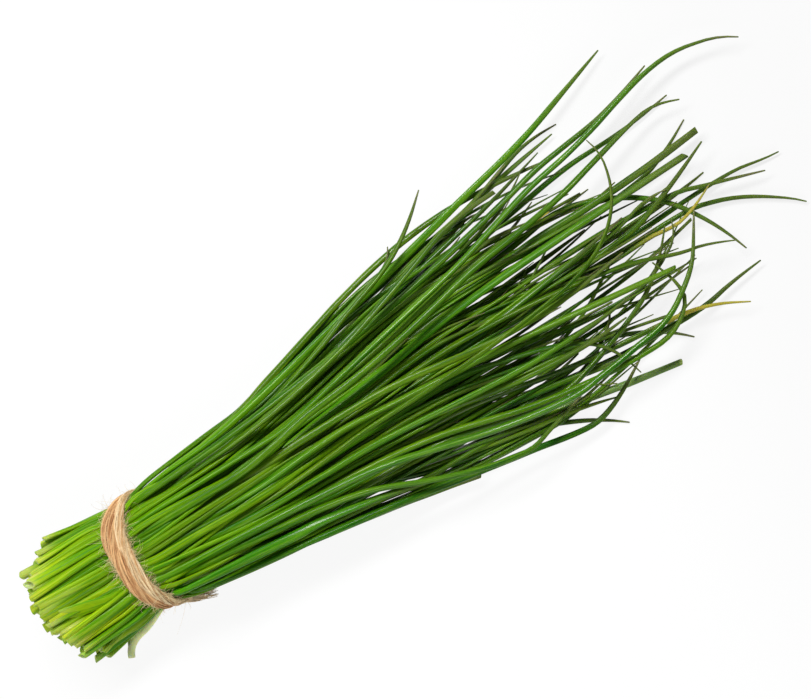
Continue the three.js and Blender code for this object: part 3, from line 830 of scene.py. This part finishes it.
KNOT_ANGLE = 1.08 * math.pi
KNOT_ROUTES = (  # two loops: the angle from there, how far out, and how far along the bunch
    ((-0.10, 0.6, -3.0), (-0.07, 1.9, -2.4), (0, 2.7, -0.4), (0.06, 2.5, 1.6), (0.08, 1.4, 3.0)),
    ((0.15, 0.7, -2.9), (0.12, 2.0, -2.2), (0.04, 2.9, -0.2), (-0.05, 2.5, 1.8), (-0.09, 1.3, 3.1)),
)
KNOT_FIBRES = 46
TWINE_ENDS = (  # where the two ends run, in the plan's x and y and up from the table
    ((1.5, -20.0, 11.0), (4.4, -21.8, 7.0), (7.0, -23.0, 3.2), (10.4, -23.9, 0.95), (13.4, -24.6, 0.8)),
    ((2.0, -19.6, 10.0), (4.8, -20.9, 5.8), (7.4, -21.8, 2.4), (10.8, -22.1, 1.0), (13.9, -22.0, 0.8)),
)
END_FIBRES = 90
END_SPREAD = 1.5  # how much wider a frayed end is
END_TWIST = (1.5, 3.5)
END_LENGTH = (0.62, 1)  # of its fibres, as a share of the longest
STRAND_RADIUS = 0.95
STRAND_STATIONS = 26
STRAND_SWAY = 0.12
LIES_FLAT = 0.75
STRAND_FIBRE_RADIUS = (0.055, 0.1)

HAIRS = 1400
HAIR_STATIONS = 12
HAIR_SIDES = 3
HAIR_RADIUS = (0.03, 0.075)
HAIR_LENGTH = (0.8, 8)
TWINE_TOP_Z = 32.0
HAIRS_LIE = 0.75  # share of their rise above it that the hairs lose
TUFTS = 22
IN_TUFTS = 0.5  # share of the hairs
FRONT_TUFTS = 0.6  # share of the tufts
TOP_HAIRS = 0.75  # share of the other hairs that stand
HAIRS_TOP = (0.05, 0.97)  # here, in half turns from the +Y side over the top


def tie_frame(angle):
    """The leaves' surface in the tie, at an angle from the +Y side over the top, and the way out."""
    y = (TIE_HALF_WIDTH + 0.1) * np.cos(angle)
    z = (TIE_HALF_HEIGHT + 0.1) * np.sin(angle)
    point = TIE_MIDDLE + np.stack([TIE_SKEW * y + TIE_LEAN * z, y, z], axis=-1)
    out_y, out_z = np.cos(angle) / TIE_HALF_WIDTH, np.sin(angle) / TIE_HALF_HEIGHT
    return point, unit(np.stack([np.zeros_like(y), out_y, out_z], axis=-1))


def tube_corners(paths, radii, sides, closed):
    """The corners of the rings round each path."""
    if closed:
        tangents = np.roll(paths, -1, axis=1) - np.roll(paths, 1, axis=1)
        askew = (1.0, 0.02, 0.03)
    else:
        tangents = np.gradient(paths, axis=1)
        askew = (0.93, 0.31, 0.2)
    tangents = unit(tangents)
    side = unit(np.cross(askew, tangents))
    up = np.cross(tangents, side)
    angle = math.tau * np.arange(sides) / sides
    around = np.cos(angle)[:, None] * side[:, :, None] + np.sin(angle)[:, None] * up[:, :, None]
    corners = paths[:, :, None] + radii[:, :, None, None] * around
    corners[..., 2] = np.maximum(corners[..., 2], OFF_TABLE)
    return corners


def tubes(name, paths, radii, sides, material, tones, closed=False):
    """Many thin tubes in one mesh; `paths` is tubes x stations x 3."""
    count, stations, _ = paths.shape
    corners = tube_corners(paths, radii, sides, closed)
    run = np.zeros_like(corners)
    run[..., 0] = np.arange(count)[:, None, None] * RUNS_APART
    steps = lengths(np.diff(paths, axis=1, prepend=paths[:, :1]))
    run[..., 2] = np.cumsum(steps, axis=1)[:, :, None]
    attributes = (("tone", np.repeat(tones, stations * sides)), ("run", run.reshape(-1, 3)))
    faces = tube_faces(count, stations, sides, closed)
    return mesh_object(name, corners.reshape(-1, 3), faces, attributes, material)


def wander(angle, draw, size, count):
    """A small drift for each of `count` fibres that comes back to itself after a turn."""
    total = np.zeros((count, len(angle)))
    for times in (2, 3, 5, 8, 13):
        start = draw.uniform(0, math.tau, (count, 1))
        total += np.sin(times * angle + start) * draw.normal(0, 1, (count, 1))
    return total * size / 2


def bulge(side, angle):
    """How much wider a turn is: the one nearer the cut ends is loose in one place."""
    return np.where(side < 0, REAR_BULGE * np.clip(np.cos(angle - REAR_BULGE_ANGLE), 0, 1) ** 4, 0)


def turn_offset(side, angle):
    """How far along the bunch a turn lies from the tie's middle."""
    opened = np.clip(np.sin(angle), 0, 1)
    opened = opened**2 * (3 - 2 * opened)
    pitch = side * STRAND_PITCH * (STRANDS_DRAWN_IN + (1 - STRANDS_DRAWN_IN) * opened)
    return (pitch - bulge(side, angle)) / 2


def ply_fibres(draw, angle, middle, out, width):
    """The fibres wound round a ply's middle line, and their tones."""
    share = math.tau * np.arange(FIBRES_PER_PLY) / FIBRES_PER_PLY
    strays_round, strays_out = FIBRE_STRAYS
    around = share[:, None] + FIBRE_TURNS * angle + wander(angle, draw, strays_round, FIBRES_PER_PLY)
    reach = 1 + wander(angle, draw, strays_out, FIBRES_PER_PLY)
    fibre_along = (PLY_HALF_WIDE * width * np.cos(around) * reach)[..., None] * ALONG
    fibre_out = (PLY_HALF_THICK * np.sin(around) * reach)[..., None] * out
    slow, own = FIBRE_TONES
    tones = 0.5 + slow * np.sin(share * 3 + draw.uniform(0, 6)) + draw.normal(0, own, FIBRES_PER_PLY)
    return middle + fibre_along + fibre_out, tones


def twine_turns(materials, shaded_core_material):
    """The two turns side by side: twisted plies, each covered by its fibres."""
    draw = np.random.default_rng(7)
    angle = np.linspace(0, math.tau, RING_STATIONS, endpoint=False)
    point, out = tie_frame(angle)
    at_sides, on_top = PLY_WIDTH
    pieces, cores = [], []
    # the rear turn takes the jute with painted shade, the front turn the jute with painted light
    for side, material, label in ((-1, materials[0], "shaded_rear"), (1, materials[1], "lit_front")):
        fibres, tones = [], []
        middle_x = turn_offset(side, angle) + TWINE_SWAY * np.sin(3 * angle + side)
        width = at_sides + on_top * np.clip(np.sin(angle), 0, 1) + bulge(side, angle) / 4
        for ply in range(PLIES):
            phase = math.tau * ply / PLIES + PLY_TURNS * angle + side
            ply_along = middle_x + PLY_SPREAD[0] * width * np.cos(phase)
            ply_out = TWINE_OUT + PLY_SPREAD[1] * np.sin(phase)
            middle = point + ply_along[:, None] * ALONG + ply_out[:, None] * out
            cores.append(middle)
            ply_paths, ply_tones = ply_fibres(draw, angle, middle, out, width)
            fibres.append(ply_paths)
            tones.append(ply_tones)
        fibres = np.vstack(fibres)
        radii = np.repeat(draw.uniform(*FIBRE_RADIUS, (len(fibres), 1)), RING_STATIONS, axis=1)
        tones = np.concatenate(tones).clip(0, 1)
        pieces.append(tubes(f"twine_fibres_{label}", fibres, radii, FIBRE_SIDES, material, tones, True))
    cores = np.array(cores)
    radii = np.full(cores.shape[:2], CORE_RADIUS)
    tones = draw.uniform(0, 0.5, len(cores))
    # the cores carry the dark jute of painted shade
    return [*pieces, tubes("twine_plies", cores, radii, CORE_SIDES, shaded_core_material, tones, True)]


def strand(draw, route, spread, fibre_count):
    """Fibres along a route, whose bundle is `spread` times wider still at its end."""
    per_fibre = (fibre_count, 1)
    middle, _ = smooth_line(np.array(route, float), np.zeros(len(route)), STRAND_STATIONS)
    share = np.linspace(0, 1, STRAND_STATIONS)
    _, side, up = ring_frames(middle)
    angle = draw.uniform(0, math.tau, per_fibre) + share * draw.uniform(*END_TWIST)
    reach = STRAND_RADIUS * np.sqrt(draw.uniform(0.1, 1, per_fibre))
    reach = reach * (1 + spread * share**1.6 * draw.uniform(0.2, 1, per_fibre))
    sway = draw.normal(0, STRAND_SWAY, per_fibre) * np.sin(share * 7 + draw.uniform(0, 6, per_fibre))
    across = reach * np.cos(angle) + sway * (0.3 + spread * share)
    height = reach * np.sin(angle) * (1 - LIES_FLAT * share * min(spread, 1))
    paths = middle + across[..., None] * side + height[..., None] * up
    cut = draw.uniform(*END_LENGTH, fibre_count) if spread else np.ones(fibre_count)
    return np.array([
        np.column_stack([np.interp(share * end, share, column) for column in path.T])
        for path, end in zip(paths, cut)
    ])


def on_tie(angle, out, along):
    """A point on the tie: at an angle from the knot's, away from the leaves, and along the bunch."""
    point, direction = tie_frame(np.array(KNOT_ANGLE + angle))
    return point + direction * out + ALONG * along


def twine_knot_and_ends(material):
    """A flat knot low on the -Y side, and two frayed ends that lie on the table."""
    draw = np.random.default_rng(11)
    pieces = [strand(draw, [on_tie(*place) for place in route], 0.0, KNOT_FIBRES) for route in KNOT_ROUTES]
    on_table = PLAN_ORIGIN * [1, 1, 0]
    pieces += [strand(draw, route + on_table, END_SPREAD, END_FIBRES) for route in np.array(TWINE_ENDS)]
    paths = np.vstack(pieces)
    share = np.linspace(0, 1, STRAND_STATIONS)
    radii = draw.uniform(*STRAND_FIBRE_RADIUS, (len(paths), 1)) * np.where(share > 0.8, 1.6 - 0.75 * share, 1)
    tones = draw.uniform(0, 1, len(paths))
    # the jute here is painted paler, as painted light in the bunch's shade
    return tubes("twine_knot_and_ends", paths, radii, FIBRE_SIDES, material, tones)


def twine_fuzz(material):
    """Fine hairs that stand off the twine, singly and in tufts."""
    draw = np.random.default_rng(5)
    per_hair = (HAIRS, 1)
    tuft = draw.uniform(0.08, 0.95, TUFTS)
    tuft_side = np.where(draw.uniform(0, 1, TUFTS) < FRONT_TUFTS, 1, -1)
    chosen = draw.integers(0, TUFTS, HAIRS)
    tufted = draw.uniform(0, 1, HAIRS) < IN_TUFTS
    on_top = draw.uniform(0, 1, HAIRS) < TOP_HAIRS
    alone = np.where(on_top, draw.uniform(*HAIRS_TOP, HAIRS), draw.uniform(-1, 1, HAIRS))
    angle = np.where(tufted, tuft[chosen] + draw.normal(0, 0.012, HAIRS), alone) * math.pi
    side = np.where(tufted, tuft_side[chosen], draw.choice([-1, 1], HAIRS))
    point, out = tie_frame(angle)
    edge = turn_offset(side, angle) + side * draw.uniform(-0.3, 1.8, HAIRS)
    root = point + out * draw.uniform(0.4, 1.5, per_hair) + edge[:, None] * ALONG
    ahead, _ = tie_frame(angle + 0.02)
    heading = unit(unit(ahead - point) * draw.normal(0, 1.3, per_hair)
                   + out * draw.uniform(-0.2, 0.4, per_hair)
                   + side[:, None] * ALONG * draw.uniform(0.1, 1.1, per_hair))
    length = draw.gamma(2.2, 1.6, per_hair).clip(*HAIR_LENGTH)
    bend = np.cross(heading, draw.normal(0, 1, (HAIRS, 3))) * draw.uniform(0.2, 1.0, per_hair)
    share = np.linspace(0, 1, HAIR_STATIONS)
    turned = share[None, :, None] * draw.uniform(0.6, 2.6, (HAIRS, 1, 1))
    paths = (root[:, None] + heading[:, None] * length[:, None] * np.sin(turned) / turned[:, -1:]
             + bend[:, None] * length[:, None] * (1 - np.cos(turned)) / turned[:, -1:])
    paths[..., 2] -= HAIRS_LIE * np.maximum(paths[..., 2] - TWINE_TOP_Z, 0)
    radii = draw.uniform(*HAIR_RADIUS, per_hair) * (1.1 - 0.8 * share)
    return tubes("twine_fuzz", paths, radii, HAIR_SIDES, material, draw.uniform(0, 1, HAIRS))


# ======== building
def cad_leaf_lines():
    """The middle line of each of the CAD's leaves, and its radii."""
    lines, radii = [], []
    for node in CAD_LEAVES:
        middles, ring_radii = cad_leaf(node)
        line, _ = smooth_line(middles, ring_radii, STATIONS)
        freed = (line[:, 0] - TIE_MIDDLE[0] - HELD_STRAIGHT) / LAID_DOWN_OVER
        line[:, 2] -= LAID_DOWN.get(node, 0) * np.clip(freed, 0, 1)
        lines.append(line)
        radii.append(tapered(line, ring_radii[0], ring_radii[-1] / ring_radii[0], CAD_SLIMMER))
    return lines, radii


def build_leaves():
    materials = {
        "leaf": leaf_material("leaf_skin", LEAF_STOPS),
        "thin_leaf": leaf_material("thin_leaf_skin", LEAF_STOPS),
        "stalk": leaf_material("stalk_skin", STALK_STOPS),
    }
    lines, radii = cad_leaf_lines()
    clipped = [name.startswith(("flower", "clipped")) for name in CAD_LEAVES]
    held = np.array([line[np.abs(line[:, 0] - TIE_MIDDLE[0]).argmin(), 1:] for line in lines])
    slots = np.vstack([filler_slots(held - TIE_MIDDLE[1:], FILLERS - 1), OPENED_SLOT])
    for number, slot in enumerate(slots, 1):
        line, radius, blunt = filler_leaf(slot, number == FILLERS)
        lines.append(line)
        radii.append(radius)
        clipped.append(blunt)
    lines, radii = np.array(lines), np.array(radii)
    beyond_tie = lines[:, :, 0] - TIE_MIDDLE[0] - HELD_STRAIGHT
    mobility = 1 - np.clip(beyond_tie / LOOSE_OVER, 0, 1) * (1 - LEAST_LOOSE)
    mobility[len(CAD_LEAVES):] = 1
    lines = press_apart(lines, radii, mobility)
    # painted shade: how deep each leaf lies in the pile, from 0 on top to 1 at the bottom
    shade_depths = 1 - np.argsort(np.argsort(lines[:, :, 2].mean(1))) / (len(lines) - 1)
    shade_depths[:len(CAD_LEAVES)] = CAD_SHADE_DEPTH
    names = [*CAD_LEAVES, *[None] * FILLERS]
    for number, (name, line, radius, blunt, shade_depth) in enumerate(zip(names, lines, radii, clipped, shade_depths), 1):
        kind = node_kind(name)
        line, radius = smooth_line(line, radius, MESH_STATIONS)
        tint, pale = TINTED_TIPS.get(name, (0, 1, (0, 0, 0))), PALE_BASES.get(name)
        opened = number == len(lines)
        title, skin = f"chive_{number:03d}", materials[kind]
        piece = leaf_piece(title, line, radius, skin, blunt, tint, pale, shade_depth, opened)
        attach(piece, "root")
        if name:
            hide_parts(name)


def node_kind(node):
    """The material slot of a leaf: a CAD node's own, or a plain leaf's."""
    if node and node.startswith("flower"):
        return "stalk"
    return "thin_leaf" if node and node.startswith("thin") else "leaf"


def build_twine():
    # the rear and front jute are one jute, with painted shade and painted light
    shaded_rear, lit_front, ends, shaded_core, hair = (twine_material(f"jute_{name}", *shades) for name, shades in JUTE.items())
    for piece in (*twine_turns((shaded_rear, lit_front), shaded_core), twine_knot_and_ends(ends), twine_fuzz(hair)):
        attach(piece, "root")
        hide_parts("twine_tie")


FLOOR_SIZE = 4000.0
FLOOR_WHITE = (0.90, 0.80)  # share of plain white that is seen, from the cut ends to the tips
FLOOR_PAINTED_SHADE = (1.0, 0.93)  # and how bright it is: painted shade that dims it towards the tips
FLOOR_DIMS_X = (0.02, 0.17)  # in metres
WHITE = (1, 1, 1, 1)


def floor_material():
    """White card that takes the bunch's shadow, and shows as near white, with painted shade that dims it
    towards the tips.
    """
    n = Nodes(bpy.data.materials.new("floor_card"))
    n.look({"Base Color": (0.9, 0.9, 0.9, 1), "Roughness": 0.9, "Specular IOR Level": 0.1})
    path = n.add("LightPath").outputs
    mirrored = n.math("MAXIMUM", path["Is Glossy Ray"], path["Is Transmission Ray"])
    seen = n.math("MAXIMUM", path["Is Camera Ray"], mirrored)
    place = n.add("NewGeometry").outputs["Position"]
    x = n.add("SeparateXYZ", {0: place}).outputs["X"]
    # painted shade: the white dims from the cut ends towards the tips
    strength = n.range(x, *FLOOR_DIMS_X, *FLOOR_PAINTED_SHADE, True)
    white = n.add("Emission", {"Color": WHITE, "Strength": strength}).outputs[0]
    share = n.times(seen, n.range(x, *FLOOR_DIMS_X, *FLOOR_WHITE, True))
    mixed = n.add("MixShader", {0: share, 1: n.shader.outputs[0], 2: white})
    n.set(n.tree.nodes["Material Output"].inputs["Surface"], mixed.outputs[0])
    return n.owner


def build_floor():
    half = FLOOR_SIZE / 2
    corners = np.array([(-half, -half, 0), (half, -half, 0), (half, half, 0), (-half, half, 0)])
    floor = mesh_object("floor", corners, [(0, 1, 2, 3)], (), floor_material())
    floor.location.z = -0.1 * MM


KEY_FROM = Vector((-0.1, 0.97, 0))  # the key light's side of the bunch
KEY_HEIGHT = math.radians(56)
LIGHTS = (  # name, direction, distance, width along X and height, and power; they face the bunch
    ("key", KEY_FROM.normalized() * math.cos(KEY_HEIGHT) + Vector((0, 0, math.sin(KEY_HEIGHT))),
     1.1, (0.9, 0.2), 13.8),
    ("fill", Vector((-0.35, -0.9, 0.85)), 1.3, (0.9, 0.9), 5.4),
)
WORLD_STRENGTH = 0.21  # and 1 where the camera sees it


def build_light():
    for name, direction, distance, (wide, high), power in LIGHTS:
        data = bpy.data.lights.new(name, "AREA")
        data.shape, data.size, data.size_y, data.energy = "RECTANGLE", wide, high, power
        light = placed(name, data)
        light.location = direction.normalized() * distance
        light.rotation_euler = (-direction).to_track_quat("-Z", "Y").to_euler()
    world = Nodes(bpy.data.worlds.new("white_room"), "Background")
    seen = world.add("LightPath").outputs["Is Camera Ray"]
    world.look({"Color": WHITE, "Strength": world.range(seen, 0, 1, WORLD_STRENGTH)})
    bpy.context.scene.world = world.owner


CAMERA_DISTANCE = 1.100  # above the table
CAMERA_ASIDE = Vector((0.00005, 0.0035, 0))  # from above the middle of the bunch
CAMERA_ROLL = math.radians(-31)  # the bunch lies from the lower left to the upper right
SENSOR_WIDE = 36
FRAME_WIDE = 270.333 * MM  # shown across the picture at the height of the leaves' tips
TIPS_HEIGHT = 0.005


def build_camera():
    data = bpy.data.cameras.new("camera")
    data.sensor_width = SENSOR_WIDE
    data.lens = SENSOR_WIDE * (CAMERA_DISTANCE - TIPS_HEIGHT) / FRAME_WIDE
    data.clip_start, data.clip_end = 0.05, 10
    camera = placed("camera", data)
    low, high = cad_box
    camera.location = (low + high) / 2 + CAMERA_ASIDE
    camera.location.z = CAMERA_DISTANCE
    camera.rotation_euler = (0, 0, CAMERA_ROLL)
    bpy.context.scene.camera = camera


build_camera()
build_light()
build_floor()
build_leaves()
build_twine()
bpy.context.scene.view_settings.view_transform = "Standard"
